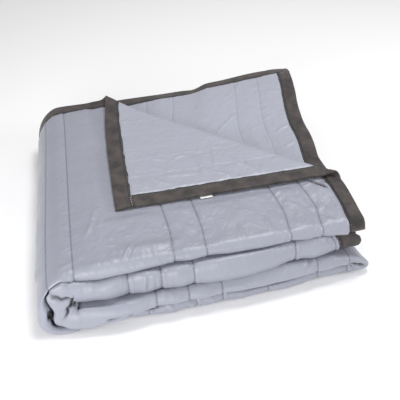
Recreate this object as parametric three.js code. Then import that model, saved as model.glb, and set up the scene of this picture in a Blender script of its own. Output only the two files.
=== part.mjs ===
// A quilted summer blanket, cut 2 m square and folded in four each way into a stack of
// sixteen layers. The back right corner of the top layer is turned over to the front left.
// Millimetres, +Z up, the stack rests on z = 0 with its front folds towards -Y.
//
// Every piece is first made flat, in the blanket's own measures: u runs across the channels,
// v runs along them and w stands up from the middle of the cloth. foldedPoint then carries
// each flat point to its place in the stack.
import * as THREE from 'three';

// The cut cloth
const cutLength = 2000;
const cutWidth = 2000;

// Quilting: pairs of seams, a narrow channel inside each pair and a wide one between pairs
const firstSeam = 75;
const narrowChannel = 50;
const channelPeriod = 180;
const puffHalf = 2.4;
const seamHalf = 1.0;
const puffSlope = 22;

// Binding tape, folded round the edge of the cloth
const bindingWidth = 28;
const tapeThickness = 0.9;
const hemHalf = 1.1;
const sewnGap = 0.4;
const hemSlope = 18;

// Sewn-in label, on the top face at the right end of the top layer
const labelLength = 21;
const labelWidth = 20;
const labelThickness = 0.5;
const labelShows = 7;
const labelAlong = 132;

// The stack
const stackWidth = 514;
const stackBack = 248;
const layerPitch = 6.8;
const plyPitch = 4 * layerPitch;
const lowerPlyInset = 16;
const innerRollInset = 7;
const sunkIntoFloor = 0.95;
const leftScale = 0.936;
const rightScale = 1.066;
const sag = 7;
const backLeftTaper = 10;
const taperReach = 150;
const footprintMiddle = [18.3, -2.9];

// The turned corner: its crease crosses the back edge and the right end of the top layer
const creaseOnBack = 376;
const creaseOnRight = 384;
const creaseRadius = 3.3;
const backLift = 5.6;
const backLiftReach = 70;
const rightLift = 1.5;
const rightLiftReach = 60;
const creaseCuts = [0, 2.6, 5.2, 7.8, 10.4, 15, 20, 25];
const cutSnap = 1.2;

// Radii of the half turns: two kinds where layers turn, two kinds where plies turn
const wideTurn = 1.5 * layerPitch;
const tightTurn = 0.5 * layerPitch;
const outerRoll = 1.5 * plyPitch;
const innerRoll = 0.5 * plyPitch;

// Straight runs between the turns
const layerDepth = (cutWidth - Math.PI * (wideTurn + 2 * tightTurn)) / 4;
const topRight = stackWidth / 2;
const rollCentre = -stackWidth / 2 + 2 * plyPitch;
const topRun = topRight - rollCentre;
const bottomRun = stackWidth / 2 - lowerPlyInset - rollCentre;
const thirdRun = bottomRun - innerRollInset;
const lastRun = cutLength - topRun - bottomRun - thirdRun - Math.PI * (outerRoll + 2 * innerRoll);

// The way the cloth goes from its back edge, layer by layer, seen from the right end
const depthPath = {
  across: stackBack,
  up: wideTurn,
  pieces: [
    { turn: 0, length: layerDepth },
    { turn: 1, length: Math.PI * wideTurn, radius: wideTurn },
    { turn: 0, length: layerDepth },
    { turn: 1, length: Math.PI * tightTurn, radius: tightTurn },
    { turn: 0, length: layerDepth },
    { turn: -1, length: Math.PI * tightTurn, radius: tightTurn },
    { turn: 0, length: layerDepth },
  ],
};

// The way the four-layer band goes from its right end, ply by ply, seen from the front
const lengthPath = {
  across: topRight,
  up: 3.5 * plyPitch,
  pieces: [
    { turn: 0, length: topRun },
    { turn: 1, length: Math.PI * outerRoll, radius: outerRoll },
    { turn: 0, length: bottomRun },
    { turn: 1, length: Math.PI * innerRoll, radius: innerRoll },
    { turn: 0, length: thirdRun },
    { turn: -1, length: Math.PI * innerRoll, radius: innerRoll },
    { turn: 0, length: lastRun },
  ],
};

// How far each ply has slid front to back, by the distance u along the cloth
const plySlide = [
  { at: 0, value: 0 },
  { at: 440, value: 0 },
  { at: 590, value: -26 },
  { at: 660, value: -15 },
  { at: 780, value: -18 },
  { at: 900, value: -14 },
  { at: 1030, value: 0 },
  { at: 1100, value: -10 },
  { at: 1280, value: -25 },
  { at: 1480, value: -14 },
  { at: 1740, value: -13 },
  { at: 2000, value: -4 },
];

// How far the ends of the layers have slipped past each other, by the distance v
const layerSlip = [
  { at: 0, value: 0 },
  { at: 480, value: 0 },
  { at: 760, value: 5 },
  { at: 1260, value: -3 },
  { at: 1540, value: 0 },
  { at: 2000, value: 0 },
];

// The uncovered corner of the layer under the flap lies askew: its drift to the right, by
// the share of the way from its front turn to its back edge
const cornerDrift = [
  { at: 0, value: 0 },
  { at: 0.28, value: -13 },
  { at: 0.51, value: -6 },
  { at: 1, value: 33 },
];
const driftFull = 255;
const cornerReach = 22;
const cornerReachWidth = 200;
const cornerRise = 7;
const cornerRiseWidth = 150;

function smoothStep(from, to, value) {
  const share = Math.min(1, Math.max(0, (value - from) / (to - from)));
  return share * share * (3 - 2 * share);
}

// Value of a table at a place, eased from row to row
function tableValue(table, place) {
  let value = table[0].value;
  for (let row = 1; row < table.length; row += 1) {
    const before = table[row - 1];
    const after = table[row];
    value += (after.value - before.value) * smoothStep(before.at, after.at, place);
  }
  return value;
}

// Point at a distance along a path, and a little aside to its right. The path starts
// towards the negative side, and each half turn goes to the left (1) or the right (-1).
function pathPoint(path, distance, aside) {
  let { across, up } = path;
  let heading = Math.PI;
  let left = distance;
  for (const [index, piece] of path.pieces.entries()) {
    const isLast = index === path.pieces.length - 1;
    const step = isLast ? left : Math.min(left, piece.length);
    if (piece.turn === 0) {
      across += step * Math.cos(heading);
      up += step * Math.sin(heading);
    } else {
      const arm = piece.turn * piece.radius;
      const turned = heading + step / arm;
      across += arm * (Math.sin(turned) - Math.sin(heading));
      up += arm * (Math.cos(heading) - Math.cos(turned));
      heading = turned;
    }
    left -= step;
    if (left <= 0 && !isLast) break;
  }
  return [across + aside * Math.sin(heading), up - aside * Math.cos(heading)];
}

// Direction from the crease towards the corner, and distance past the crease
const creaseLength = Math.hypot(creaseOnBack, creaseOnRight);
const towardsCorner = [-creaseOnRight / creaseLength, -creaseOnBack / creaseLength];

function pastCrease(u, v) {
  return (u - creaseOnBack) * towardsCorner[0] + v * towardsCorner[1];
}

// Rolls the corner over the crease, with more room at the crease's two ends
function turnCorner(u, v, w) {
  const past = pastCrease(u, v);
  if (past <= 0) return [u, v, w];
  const along = (u - creaseOnBack) * towardsCorner[1] - v * towardsCorner[0];
  const radius = creaseRadius
    + backLift * Math.exp(-((along / backLiftReach) ** 2))
    + rightLift * Math.exp(-(((creaseLength - along) / rightLiftReach) ** 2));
  const isOnRoll = past < Math.PI * radius;
  const angle = isOnRoll ? past / radius : Math.PI;
  const beyond = isOnRoll ? 0 : past - Math.PI * radius;
  const shift = (radius - w) * Math.sin(angle) - beyond - past;
  return [
    u + shift * towardsCorner[0],
    v + shift * towardsCorner[1],
    radius - (radius - w) * Math.cos(angle),
  ];
}

// Carries a flat point of the blanket to its place in the stack
function foldedPoint(flatU, flatV, flatW) {
  const [u, v, w] = turnCorner(flatU, flatV, flatW);
  const lastLayer = Math.max(0, (v - (cutWidth - layerDepth)) / layerDepth);
  const drift = tableValue(cornerDrift, lastLayer) * (1 - smoothStep(driftFull, topRun, u));
  const nearEnd = 1 - smoothStep(0, cornerReachWidth, u);
  const reach = cornerReach * nearEnd * lastLayer ** 2;
  const rise = cornerRise * (1 - smoothStep(0, cornerRiseWidth, u)) * lastLayer ** 4;
  const [y, height] = pathPoint(depthPath, v + reach, w);
  const [x, z] = pathPoint(lengthPath, u - drift + tableValue(layerSlip, v), height);
  const side = THREE.MathUtils.clamp(x / stackWidth + 0.5, 0, 1);
  const scale = leftScale + (rightScale - leftScale) * side;
  const settled = z - sag * Math.sin(Math.PI * THREE.MathUtils.clamp(z / (4 * plyPitch), 0, 1));
  const taper = backLeftTaper * smoothStep(-layerDepth / 2, layerDepth / 2, y)
    * (1 - smoothStep(-stackWidth / 2, taperReach - stackWidth / 2, x));
  return [
    x + taper - footprintMiddle[0],
    y + tableValue(plySlide, u) - footprintMiddle[1],
    Math.max(0, settled * scale - sunkIntoFloor + rise),
  ];
}

// Seams at all pairs across the cloth
const seams = [];
for (let start = firstSeam; start < cutLength; start += channelPeriod) {
  seams.push(start, start + narrowChannel);
}

// Half the thickness of the quilt: thin in the hem and at each seam, full between them
function quiltHalf(u, v) {
  const hem = bindingWidth + sewnGap;
  const inside = Math.min(u - hem, cutLength - hem - u, v - hem, cutWidth - hem - v);
  if (inside <= 0) return hemHalf;
  const fromSeam = Math.min(...seams.map((seam) => Math.abs(u - seam)));
  const fromEnd = Math.min(u - hem, cutLength - hem - u);
  const puff = seamHalf + (puffHalf - seamHalf) * Math.min(1, fromSeam / puffSlope);
  const byEnd = hemHalf + (puffHalf - hemHalf) * Math.min(1, fromEnd / hemSlope);
  const fromEdge = Math.min(v - hem, cutWidth - hem - v);
  return hemHalf + (Math.min(puff, byEnd) - hemHalf) * Math.min(1, fromEdge / hemSlope);
}

// Sorted places, with any that lies too close after a kept one left out
function mergePlaces(wanted, extra, closest) {
  const places = [...wanted];
  for (const place of extra) {
    if (places.every((kept) => Math.abs(kept - place) >= closest)) places.push(place);
  }
  return places.sort((first, second) => first - second);
}

// Places where a path turns, at equal steps through each half turn
function turnPlaces(path, stepLength) {
  const places = [];
  let distance = 0;
  for (const piece of path.pieces) {
    if (piece.turn !== 0) {
      const steps = Math.round(piece.length / stepLength(piece.radius));
      for (let step = 0; step <= steps; step += 1) {
        places.push(distance + (piece.length * step) / steps);
      }
    }
    distance += piece.length;
  }
  return places;
}

const hemLine = bindingWidth + sewnGap;
const channelPlaces = [hemLine, (hemLine + firstSeam) / 2];
for (const [index, seam] of seams.entries()) {
  channelPlaces.push(seam);
  if (index % 2 === 0) channelPlaces.push(seam + narrowChannel / 2);
  else if (index < seams.length - 1) {
    channelPlaces.push(seam + puffSlope, seams[index + 1] - puffSlope);
  }
}
channelPlaces.push((seams[seams.length - 1] + cutLength - hemLine) / 2, cutLength - hemLine);
const columns = mergePlaces(
  [0, ...channelPlaces, cutLength],
  turnPlaces(lengthPath, (radius) => radius * 0.4 + 3),
  5,
);

const rowWanted = [0, hemLine, hemLine + hemSlope, ...turnPlaces(depthPath, (r) => r * 0.45 + 0.9)];
const rowExtra = [];
for (const share of [0.3, 0.55, 0.8]) rowExtra.push(share * layerDepth);
for (const share of [0.25, 0.5, 0.7, 0.85]) rowExtra.push(cutWidth - layerDepth * (1 - share));
rowExtra.push(cutWidth * 0.37, cutWidth * 0.63);
const rows = mergePlaces(
  [...rowWanted, cutWidth - hemLine - hemSlope, cutWidth - hemLine, cutWidth],
  rowExtra,
  12,
);

// Flat closed mesh of the quilt: a top and a bottom grid, and a wall round them
function quiltMesh() {
  const points = [];
  const faces = [];
  for (const side of [1, -1]) {
    for (const v of rows) {
      for (const u of columns) points.push([u, v, side * quiltHalf(u, v)]);
    }
  }
  const wide = columns.length;
  const under = wide * rows.length;
  const addQuad = (a, b, c, d) => faces.push([a, b, c], [a, c, d]);
  for (let row = 0; row + 1 < rows.length; row += 1) {
    for (let column = 0; column + 1 < wide; column += 1) {
      const corner = row * wide + column;
      addQuad(corner, corner + 1, corner + wide + 1, corner + wide);
      addQuad(under + corner + wide, under + corner + wide + 1, under + corner + 1, under + corner);
    }
  }
  const rim = [];
  for (let column = 0; column + 1 < wide; column += 1) rim.push(column);
  for (let row = 0; row + 1 < rows.length; row += 1) rim.push(row * wide + wide - 1);
  for (let column = wide - 1; column > 0; column -= 1) rim.push((rows.length - 1) * wide + column);
  for (let row = rows.length - 1; row > 0; row -= 1) rim.push(row * wide);
  for (const [index, here] of rim.entries()) {
    const next = rim[(index + 1) % rim.length];
    addQuad(here, here + under, next + under, next);
  }
  return { points, faces };
}

// Flat closed mesh of a tape folded round one edge. toFlat places a point from its distance
// along the edge, its distance in from the cut and its height.
function tapeMesh(stations, hasEndWalls, toFlat) {
  const inner = hemHalf + sewnGap;
  const outer = inner + tapeThickness;
  const fold = -sewnGap - tapeThickness;
  const section = [
    [bindingWidth, inner], [bindingWidth, outer], [fold, outer], [fold, -outer],
    [bindingWidth, -outer], [bindingWidth, -inner], [-sewnGap, -inner], [-sewnGap, inner],
  ];
  const size = section.length;
  const points = [];
  const faces = [];
  for (const along of stations) {
    for (const [across, up] of section) points.push(toFlat(along, across, up));
  }
  for (let station = 0; station + 1 < stations.length; station += 1) {
    for (let corner = 0; corner < size; corner += 1) {
      const a = station * size + corner;
      const b = station * size + ((corner + 1) % size);
      faces.push([a, b, b + size], [a, b + size, a + size]);
    }
  }
  const lastRing = (stations.length - 1) * size;
  const ends = [
    { ring: 0, along: stations[0] - tapeThickness, flip: false },
    { ring: lastRing, along: stations[stations.length - 1] + tapeThickness, flip: true },
  ];
  for (const { ring, along, flip } of ends) {
    const cap = [];
    if (hasEndWalls) {
      const wall = points.length;
      for (const corner of [1, 2, 3, 4]) points.push(toFlat(along, ...section[corner]));
      for (const step of [0, 1, 2]) {
        const low = ring + 1 + step;
        cap.push([wall + step, wall + step + 1, low + 1], [wall + step, low + 1, low]);
      }
      cap.push([wall + 3, wall, ring + 1], [wall + 3, ring + 1, ring]);
      cap.push([wall + 3, ring, ring + 5], [wall + 3, ring + 5, ring + 4]);
      cap.push([wall, wall + 3, wall + 2], [wall, wall + 2, wall + 1]);
      cap.push([ring + 5, ring, ring + 7], [ring + 5, ring + 7, ring + 6]);
    } else {
      cap.push([ring, ring + 2, ring + 1], [ring, ring + 7, ring + 2]);
      cap.push([ring + 7, ring + 6, ring + 2], [ring + 6, ring + 3, ring + 2]);
      cap.push([ring + 6, ring + 5, ring + 3], [ring + 5, ring + 4, ring + 3]);
    }
    for (const [a, b, c] of cap) faces.push(flip ? [a, c, b] : [a, b, c]);
  }
  return { points, faces };
}

// Flat closed mesh of the label, half tucked over the binding
function labelMesh() {
  const box = new THREE.BoxGeometry(labelLength, labelWidth, labelThickness);
  const low = hemHalf + 2 * sewnGap + tapeThickness;
  box.translate(labelLength / 2 - labelShows, labelAlong, low + labelThickness / 2);
  const places = box.getAttribute('position');
  const points = [];
  const owner = [];
  for (let index = 0; index < places.count; index += 1) {
    const point = [places.getX(index), places.getY(index), places.getZ(index)];
    const same = points.findIndex((other) => Math.hypot(...other.map((n, i) => n - point[i])) < 0.01);
    owner.push(same < 0 ? points.push(point) - 1 : same);
  }
  const order = box.getIndex().array;
  const faces = [];
  for (let index = 0; index < order.length; index += 3) {
    faces.push([owner[order[index]], owner[order[index + 1]], owner[order[index + 2]]]);
  }
  return { points, faces };
}

// Splits every face that lies across one line beside the crease
function cutBesideCrease({ points, faces }, level) {
  const sides = points.map(([u, v]) => {
    const distance = pastCrease(u, v) - level;
    return Math.abs(distance) < cutSnap ? 0 : Math.sign(distance);
  });
  const cutPoints = new Map();
  const cutPoint = (first, second) => {
    const key = first < second ? `${first}-${second}` : `${second}-${first}`;
    if (!cutPoints.has(key)) {
      const [a, b] = [points[first], points[second]];
      const share = (level - pastCrease(a[0], a[1])) / (pastCrease(b[0], b[1]) - pastCrease(a[0], a[1]));
      cutPoints.set(key, points.push(a.map((n, i) => n + (b[i] - n) * share)) - 1);
    }
    return cutPoints.get(key);
  };
  const cutFaces = [];
  for (const face of faces) {
    const touched = face.map((corner) => sides[corner]);
    if (!touched.includes(1) || !touched.includes(-1)) {
      cutFaces.push(face);
      continue;
    }
    for (const side of [1, -1]) {
      const ring = [];
      for (const [index, here] of face.entries()) {
        const next = face[(index + 1) % 3];
        if (sides[here] * side >= 0) ring.push(here);
        if (sides[here] * sides[next] < 0) ring.push(cutPoint(here, next));
      }
      for (let corner = 2; corner < ring.length; corner += 1) {
        cutFaces.push([ring[0], ring[corner - 1], ring[corner]]);
      }
    }
  }
  return { points, faces: cutFaces };
}

// Six times the volume inside a closed mesh, negative when its faces look inwards
function signedVolume({ points, faces }) {
  const corners = points.map((point) => new THREE.Vector3(...point));
  let total = 0;
  for (const [a, b, c] of faces) {
    total += corners[a].dot(new THREE.Vector3().crossVectors(corners[b], corners[c]));
  }
  return total;
}

// Folds a flat mesh into the stack as a named solid
function foldedSolid(name, flatMesh, colour) {
  const { points, faces } = creaseCuts.reduce(cutBesideCrease, flatMesh);
  const looksOut = signedVolume({ points, faces }) > 0;
  const geometry = new THREE.BufferGeometry();
  const places = points.flatMap(([u, v, w]) => foldedPoint(u, v, w));
  geometry.setAttribute('position', new THREE.Float32BufferAttribute(places, 3));
  geometry.setIndex(faces.flatMap(([a, b, c]) => (looksOut ? [a, b, c] : [a, c, b])));
  geometry.computeVertexNormals();
  const solid = new THREE.Mesh(geometry, new THREE.MeshStandardMaterial({ color: colour }));
  solid.name = name;
  return solid;
}

const satinColour = 0xa9abba;
const tapeColour = 0x4d4645;
const labelColour = 0xf1f1ee;

const lengthStations = [-sewnGap, ...columns.slice(1, -1), cutLength + sewnGap];
const widthStations = rows.filter((v) => v > hemLine && v < cutWidth - hemLine);
widthStations.unshift(hemLine);
widthStations.push(cutWidth - hemLine);

const blanket = new THREE.Group();
blanket.name = 'folded_blanket';
blanket.add(
  foldedSolid('quilted_panel', quiltMesh(), satinColour),
  foldedSolid(
    'top_edge_binding',
    tapeMesh(lengthStations, true, (along, across, up) => [along, across, up]),
    tapeColour,
  ),
  foldedSolid(
    'under_edge_binding',
    tapeMesh(lengthStations, true, (along, across, up) => [along, cutWidth - across, up]),
    tapeColour,
  ),
  foldedSolid(
    'top_end_binding',
    tapeMesh(widthStations, false, (along, across, up) => [across, along, up]),
    tapeColour,
  ),
  foldedSolid(
    'inner_end_binding',
    tapeMesh(widthStations, false, (along, across, up) => [cutLength - across, along, up]),
    tapeColour,
  ),
  foldedSolid('sewn_label', labelMesh(), labelColour),
);

export default blanket;
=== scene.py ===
import math
from bisect import bisect_left, bisect_right

import bmesh
import bpy
import numpy as np
from mathutils import Matrix, Vector


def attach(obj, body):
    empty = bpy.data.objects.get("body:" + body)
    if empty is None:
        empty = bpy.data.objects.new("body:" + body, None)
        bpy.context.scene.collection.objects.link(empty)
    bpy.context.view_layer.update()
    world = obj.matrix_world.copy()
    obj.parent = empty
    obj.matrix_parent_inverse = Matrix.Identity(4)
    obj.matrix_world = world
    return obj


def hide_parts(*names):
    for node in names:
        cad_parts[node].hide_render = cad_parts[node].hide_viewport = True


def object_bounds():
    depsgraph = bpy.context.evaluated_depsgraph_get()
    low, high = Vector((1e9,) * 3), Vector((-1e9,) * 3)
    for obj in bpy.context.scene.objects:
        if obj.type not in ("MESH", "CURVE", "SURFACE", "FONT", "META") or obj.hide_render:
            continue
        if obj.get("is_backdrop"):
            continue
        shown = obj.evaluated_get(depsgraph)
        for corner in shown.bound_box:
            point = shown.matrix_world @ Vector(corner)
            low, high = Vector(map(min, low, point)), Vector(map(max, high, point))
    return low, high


# A quilted satin blanket, folded in four each way, with one corner turned over.
# Flat places are in the cloth's own millimetres: u across the channels, v along them, w up.
# A table gives values at places, and a pair of numbers says where something starts and ends.
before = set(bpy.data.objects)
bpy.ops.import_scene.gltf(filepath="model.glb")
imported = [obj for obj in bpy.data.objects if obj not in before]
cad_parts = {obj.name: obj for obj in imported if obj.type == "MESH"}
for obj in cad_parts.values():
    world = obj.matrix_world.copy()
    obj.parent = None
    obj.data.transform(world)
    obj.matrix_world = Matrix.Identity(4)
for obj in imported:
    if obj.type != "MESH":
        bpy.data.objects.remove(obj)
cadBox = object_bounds()
bpy.ops.object.select_all(action="DESELECT")
scene = bpy.context.scene
print("frame loaded")

cloth = {
    "length": 2000.0, "width": 2000.0,
    "bindingWidth": 28.0, "hemHalf": 1.1, "seamHalf": 0.9, "crownHalf": 2.3,
    "seams": [75, 125, 255, 305, 452.5, 487.5, 590, 697.5, 772.5, 815, 890, 975, 1025, 1080, 1135,
              1292.5, 1345, 1395, 1630, 1680, 1730, 1892.5, 1965],
}
stack = {
    "width": 514.0, "back": 248.0, "layerPitch": 6.8,
    "lowerPlyInset": 16.0, "innerRollInset": 7.0, "sunkIntoFloor": 0.95,
    "leftScale": 0.936, "rightScale": 1.066, "sag": 7.0, "middle": (18.3, -2.9),
}
corner = {
    "onBack": 376.0, "onRight": 384.0, "radius": 3.3,
    "backLift": 5.6, "backLiftReach": 70.0, "rightLift": 1.5, "rightLiftReach": 60.0,
}
# How far the layers have slipped along u, by v
layerSlip = [(0, 0), (480, 0), (760, 6), (1260, 6), (1500, 0), (2000, 0)]
# The last layer's corner, which shows behind the turned one, has drifted, reaches back and rises
underCorner = {
    "drift": [(0, 0), (0.28, -13), (0.55, 1.5), (1, 33)], "driftFull": 255.0,
    "reach": 22.0, "reachWidth": 200.0, "rise": 7.0, "riseWidth": 150.0,
}
# How far the inner plies swell towards the outer roll, by direction: 0 up, 1 left, 2 down
leftSqueeze = {
    "swell": [(0, 9), (0.2, 17), (0.55, 20), (1, 7), (1.5, 18), (2, 12)],
    "heel": [(1, 0), (1.45, 11), (2, 0)], "fade": (90, 0), "shift": 0.5, "shiftFade": (110, -10),
}
# How far the meeting of two plies lies above its even height, by place across. Each has the plies
# under it and how narrowly it acts
plyMeetings = [
    (3, 1.12, [(-205, -13), (-172, -2), (-125, 8), (-60, 10), (140, 9), (250, 5)]),
    (2, 1, [(-205, -1), (-150, -4), (-60, -1.5), (40, -4), (140, 1), (250, -4)]),
    (1, 1, [(-205, -12), (-150, -5), (-90, 4), (-60, 4.7), (40, 3.9), (140, 1.3), (250, 1.7)]),
]
meetingStart = (-10, 30)
# The bound edges ripple where they lie free
hemWave = {"height": 1.7, "cell": 34.0, "reach": (55, 0), "freeU": (560, 400), "freeV": (470, 380),
           "seed": 81}

pitch = stack["layerPitch"]
ply = 4 * pitch
wideTurn, tightTurn = 1.5 * pitch, 0.5 * pitch
outerRoll, innerRoll = 1.5 * ply, 0.5 * ply
layerDepth = (cloth["width"] - math.pi * (wideTurn + 2 * tightTurn)) / 4
rollCentre = -stack["width"] / 2 + 2 * ply
topRun = stack["width"] / 2 - rollCentre
bottomRun = stack["width"] / 2 - stack["lowerPlyInset"] - rollCentre
thirdRun = bottomRun - stack["innerRollInset"]
endless = 1e5
# Each path starts at a place and goes left in pieces: which way it turns, and its length or radius
depthPath = {"across": stack["back"], "up": wideTurn, "pieces": [
    (0, layerDepth), (1, wideTurn), (0, layerDepth), (1, tightTurn), (0, layerDepth),
    (-1, tightTurn), (0, endless)]}
lengthPath = {"across": stack["width"] / 2, "up": 3.5 * ply, "pieces": [
    (0, topRun), (1, outerRoll), (0, bottomRun), (1, innerRoll), (0, thirdRun), (-1, innerRoll),
    (0, endless)]}
creaseLength = math.hypot(corner["onBack"], corner["onRight"])
toCorner = (-corner["onRight"] / creaseLength, -corner["onBack"] / creaseLength)


def eased(ends, value):
    # From 0 at the first end to 1 at the second, which may be the lower one
    share = np.clip((value - ends[0]) / (ends[1] - ends[0]), 0, 1)
    return share * share * (3 - 2 * share)


def tableAt(table, place):
    value = np.full(np.shape(place), float(table[0][1]))
    for before, after in zip(table, table[1:]):
        value = value + (after[1] - before[1]) * eased((before[0], after[0]), place)
    return value


def pathPoint(path, distance, aside):
    left = np.array(distance, float)
    across, up, heading = [left * 0 + start for start in (path["across"], path["up"], math.pi)]
    for turn, size in path["pieces"]:
        step = np.minimum(left, size * math.pi if turn else size)
        left = left - step
        if turn == 0:
            across = across + step * np.cos(heading)
            up = up + step * np.sin(heading)
        else:
            arm = turn * size
            turned = heading + step / arm
            across = across + arm * (np.sin(turned) - np.sin(heading))
            up = up + arm * (np.cos(heading) - np.cos(turned))
            heading = turned
    return across + aside * np.sin(heading), up - aside * np.cos(heading)


def pastCrease(u, v):
    return (u - corner["onBack"]) * toCorner[0] + v * toCorner[1]


def turnCorner(u, v, w):
    past = pastCrease(u, v)
    along = (u - corner["onBack"]) * toCorner[1] - v * toCorner[0]
    radius = (corner["radius"] + corner["backLift"] * np.exp(-(along / corner["backLiftReach"]) ** 2)
              + corner["rightLift"] * np.exp(-((creaseLength - along) / corner["rightLiftReach"]) ** 2))
    onRoll = past < math.pi * radius
    angle = np.where(onRoll, past / radius, math.pi)
    beyond = np.where(onRoll, 0, past - math.pi * radius)
    shift = (radius - w) * np.sin(angle) - beyond - past
    flat = past <= 0
    return (np.where(flat, u, u + shift * toCorner[0]), np.where(flat, v, v + shift * toCorner[1]),
            np.where(flat, w, radius - (radius - w) * np.cos(angle)))


noiseSize = 256


def softNoise(u, v, cell, seed):
    # Rolling noise from -1 to 1, with hills about one cell across
    lattice = np.random.default_rng(seed).uniform(-1, 1, (noiseSize, noiseSize))
    a, b = u / cell, v / cell
    column, row = np.floor(a).astype(int), np.floor(b).astype(int)
    s, t = a - column, b - row
    s, t = s * s * (3 - 2 * s), t * t * (3 - 2 * t)
    here, after = column % noiseSize, (column + 1) % noiseSize
    near, far = [lattice[here, line % noiseSize] * (1 - s) + lattice[after, line % noiseSize] * s
                 for line in (row, row + 1)]
    return near * (1 - t) + far * t


def ripple(u, v):
    toEnd = np.minimum(u, cloth["length"] - u)
    toEdge = np.minimum(v, cloth["width"] - v)
    free = eased(hemWave["freeU"], u) * eased(hemWave["freeV"], toEdge)
    edges = softNoise(u, v // (cloth["width"] / 2), hemWave["cell"], hemWave["seed"])
    ends = softNoise(v, v * 0, hemWave["cell"], hemWave["seed"] + 1)
    waves = edges * eased(hemWave["reach"], toEdge) + ends * eased(hemWave["reach"], toEnd)
    return free * hemWave["height"] * waves


def pastRoll(ends, x):
    # From 0 to 1 between two places that are counted from the rolls' centre
    return eased([rollCentre + end for end in ends], x)


def squeezed(x, z):
    # At the left the outer roll is squeezed thin and the inner plies swell to meet it
    out, rise = np.minimum(x - rollCentre, 0), z - 2 * ply
    away = np.hypot(out, rise) + 1e-9
    plies = away / ply
    direction = 1 - np.arctan2(rise, -out) * 2 / math.pi
    near = pastRoll(leftSqueeze["fade"], x)
    swell = tableAt(leftSqueeze["swell"], direction) * (1 - np.abs(np.clip(plies, 0, 2) - 1))
    heel = tableAt(leftSqueeze["heel"], direction) * np.clip(plies - 1, 0, 1)
    grown = 1 + swell * near / away + heel * near / away
    toLeft = leftSqueeze["shift"] * np.clip(2 - plies, 0, 1) * pastRoll(leftSqueeze["shiftFade"], x)
    return x + out * (grown - 1) - toLeft, 2 * ply + rise * grown


def meetingRise(x, z):
    rise = 0
    for level, narrowing, table in plyMeetings:
        near = np.clip(1 - np.abs(z / ply - level) * narrowing, 0, 1)
        rise = rise + near * tableAt(table, x)
    return rise * pastRoll(meetingStart, x)


topSlip = [(0, 2), (28, 6), (75, 13), (125, 10), (255, 5), (305, 5), (440, 0)]
rightFold = [(-246, 2), (-215, -5), (-180, -11), (-120, -9), (-40, 0)]
underBack = {
    "inner": [(0, 8), (60, 12.5), (140, 14), (180, 12.5), (222, 5.5), (300, 6)],
    "edge": [(0, 0), (40, 4.5), (110, 9), (178, 8.5), (214, 0)],
}
secondEnd = {
    "inner": [(487, 0), (497, -2), (502, -3), (507, -5), (512, -10), (519, -11), (600, 0)],
    "edge": [(487, 0), (497, 5), (502, 6), (507, 3), (512, -7), (519, -14), (600, 0)],
}
# Shifts: how far in x, y and z, and what each is multiplied by, which goes by flat u
# or v or by place x or y. That is a table, a smooth span from its first end to its second, a
# straight one, or a bell with its middle and half width
shifts = [
    # the whole stack tapers at the back left, and its plies have slid back
    ((10, 0, 0), ("y", -layerDepth / 2, layerDepth / 2), ("x", -107, -257)),
    ((0, 1, 0), ("u", [
        (0, 0), (440, 0), (540, -16), (582, -20), (615, -6), (640, -5), (700, -14), (780, -12),
        (880, -7), (1020, 5), (1080, 0), (1160, -9), (1280, -18), (1380, -21), (1450, -27),
        (1511, -23), (1555, -3), (1620, -5), (1720, -9), (1820, -8), (1920, 2), (1995, 13)])),
    # the front of the top ply has slipped to the right, slumps, most at its right, and is drawn back
    ((0.6, 0, 0), ("u", topSlip), ("y", -80, -200)),
    ((0.4, 0, 0), ("u", topSlip), ("y", -80, -200), ("y", -240, -195)),
    ((0, 3.175, -2.5), ("u", 590, 460), ("y", -120, -250)),
    ((0, 5.08, -4), ("u", 200, 0), ("y", -120, -250)),
    ((0, 3, 0), ("u", 590, 460), ("y", -90, -238)),
    # the under layer rises behind the turned corner, and its bound edge curls down from there
    ((0, 0, 1), ("u", underBack["inner"]), ("u", 345, 270), ("v", 1780, 1968), ("v", 2000, 1972, "straight")),
    ((0, 0, 1), ("u", underBack["edge"]), ("u", 345, 270), ("v", 1780, 1968), ("v", 1972, 2000, "straight")),
    # the bound end of the second ply, and the lower half of the top ply's turn at its right end
    ((1, 0, 0), ("v", secondEnd["inner"]), ("u", 1900, 1965), ("u", 2000, 1972, "straight")),
    ((1, 0, 0), ("v", secondEnd["edge"]), ("u", 1900, 1965), ("u", 1972, 2000, "straight")),
    ((3.5, 0, 0), ("u", 60, 28), ("v", 500, 514), ("v", 560, 520)),
    # the fold of the two lowest plies, with its tip
    ((6, 0, 0), ("u", 1052, 10, "bell"), ("y", -205, -246)),
    ((1, 0, 0), ("y", rightFold), ("u", 1000, 1036), ("u", 1106, 1070)),
    ((0, 0, -11), ("u", 1056, 22, "bell"), ("u", 1028, 1056), ("y", -190, -246)),
]


def shareAt(place, first, second=0, kind="smooth"):
    if isinstance(first, list):
        return tableAt(first, place)
    if kind == "bell":
        return np.exp(-((place - first) / second) ** 2)
    if kind == "straight":
        return np.clip((place - first) / (second - first), 0, 1)
    return eased((first, second), place)


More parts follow.
